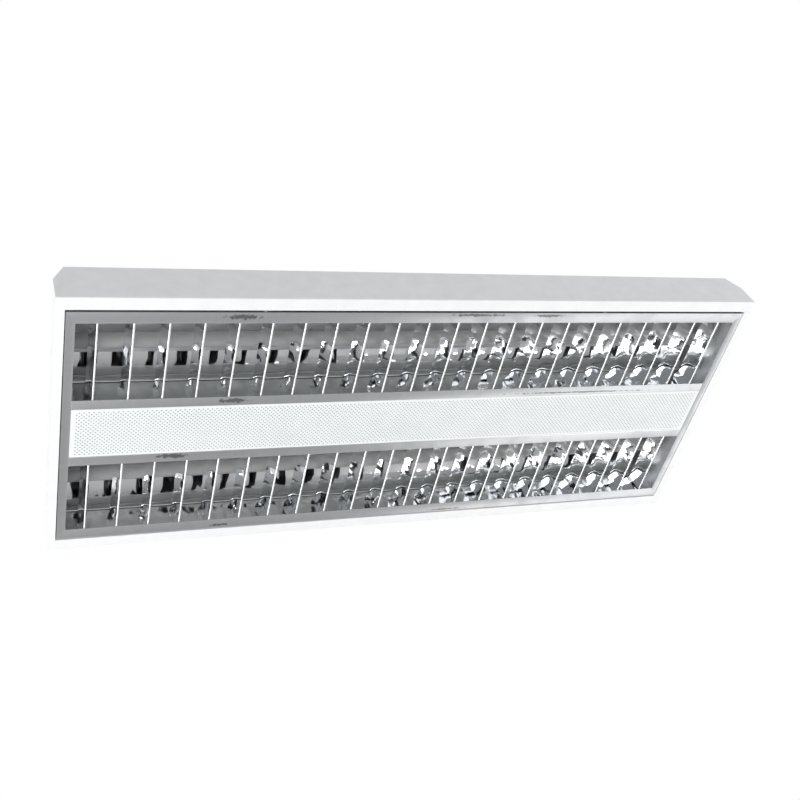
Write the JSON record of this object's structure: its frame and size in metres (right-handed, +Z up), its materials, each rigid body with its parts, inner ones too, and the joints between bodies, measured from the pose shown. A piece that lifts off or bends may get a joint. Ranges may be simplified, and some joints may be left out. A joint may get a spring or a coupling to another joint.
{
  "type": "surface mount fluorescent fixture",
  "caption": "Long white surface-mounted ceiling light with cross-blade louvre troughs over tubes, a perforated centre panel and a hinged optic.",
  "frame": {"origin": "centre of the ceiling fixing holes, on the roof's upper face", "axes": "+Z up into the ceiling, +X along the tubes, +Y towards the hinged long side"},
  "size_m": [1.25, 0.52, 0.083],
  "materials": {
    "white_paint": "satin white powder coat",
    "frame_metal": "smooth silver-white frame",
    "louvre_aluminium": "bright anodised, near specular",
    "panel_paint": "matt white, finely perforated",
    "film": "matt diffusing film",
    "white_plastic": "moulded white",
    "rubber": "matt black",
    "cap_metal": "satin",
    "brass": "plain",
    "lamp_glass": "glass with a white coating inside",
    "ballast_case": "white enamelled tinplate",
    "zinc_steel": "zinc plated"
  },
  "bodies": {
    "housing": {"housing_body": "white_paint", "end_cap_left": "white_paint", "end_cap_right": "white_paint", "cable_grommet": "rubber", "reflector_tray_near": "louvre_aluminium", "reflector_tray_far": "louvre_aluminium", "gear_cover": "white_paint", "ballast": "ballast_case", "ballast_terminals": "white_plastic", "terminal_block": "white_plastic", "tray_screws": "zinc_steel", "cover_screws": "zinc_steel", "ballast_screws": "zinc_steel", "block_screws": "zinc_steel", "lampholder_near_left": "white_plastic", "lampholder_near_right": "white_plastic", "lampholder_far_left": "white_plastic", "lampholder_far_right": "white_plastic", "hinge_brackets": "zinc_steel", "hinge_pins": "zinc_steel"},
    "optic": {"optic_rail_near": "frame_metal", "optic_rail_far": "frame_metal", "optic_rail_left": "frame_metal", "optic_rail_right": "frame_metal", "optic_rail_mid_near": "frame_metal", "optic_rail_mid_far": "frame_metal", "corner_angles": "zinc_steel", "trough_wall_near_inner": "louvre_aluminium", "trough_wall_near_outer": "louvre_aluminium", "trough_wall_far_inner": "louvre_aluminium", "trough_wall_far_outer": "louvre_aluminium", "trough_ends_near": "louvre_aluminium", "trough_ends_far": "louvre_aluminium", "cross_blades_near": "louvre_aluminium", "cross_blades_far": "louvre_aluminium", "centre_panel": "panel_paint", "diffuser_film": "film", "hinge_lugs": "zinc_steel", "catch_barrels": "zinc_steel"},
    "lamp_near": {"tube_near": "lamp_glass", "tube_caps_near": "cap_metal", "tube_pins_near": "brass", "holder_rotors_near": "white_plastic"},
    "lamp_far": {"tube_far": "lamp_glass", "tube_caps_far": "cap_metal", "tube_pins_far": "brass", "holder_rotors_far": "white_plastic"},
    "catch_left": {"catch_plunger_left": "zinc_steel"},
    "catch_right": {"catch_plunger_right": "zinc_steel"}
  },
  "joints": [
    {"name": "optic_hinge", "type": "hinge", "parent": "housing", "child": "optic", "pos_m": [0, 0.2295, -0.078], "axis": [1, 0, 0], "range_deg": [0, 90]},
    {"name": "tube_near_turn", "type": "hinge", "parent": "housing", "child": "lamp_near", "pos_m": [0, -0.141, -0.024], "axis": [1, 0, 0], "range_deg": [0, 90]},
    {"name": "tube_far_turn", "type": "hinge", "parent": "housing", "child": "lamp_far", "pos_m": [0, 0.141, -0.024], "axis": [1, 0, 0], "range_deg": [0, 90]},
    {"name": "catch_left_press", "type": "slide", "parent": "optic", "child": "catch_left", "axis": [0, 1, 0], "range_m": [0, 0.0025], "stiffness_N_per_m": 400},
    {"name": "catch_right_press", "type": "slide", "parent": "optic", "child": "catch_right", "axis": [0, 1, 0], "range_m": [0, 0.0025], "stiffness_N_per_m": 400}
  ]
}
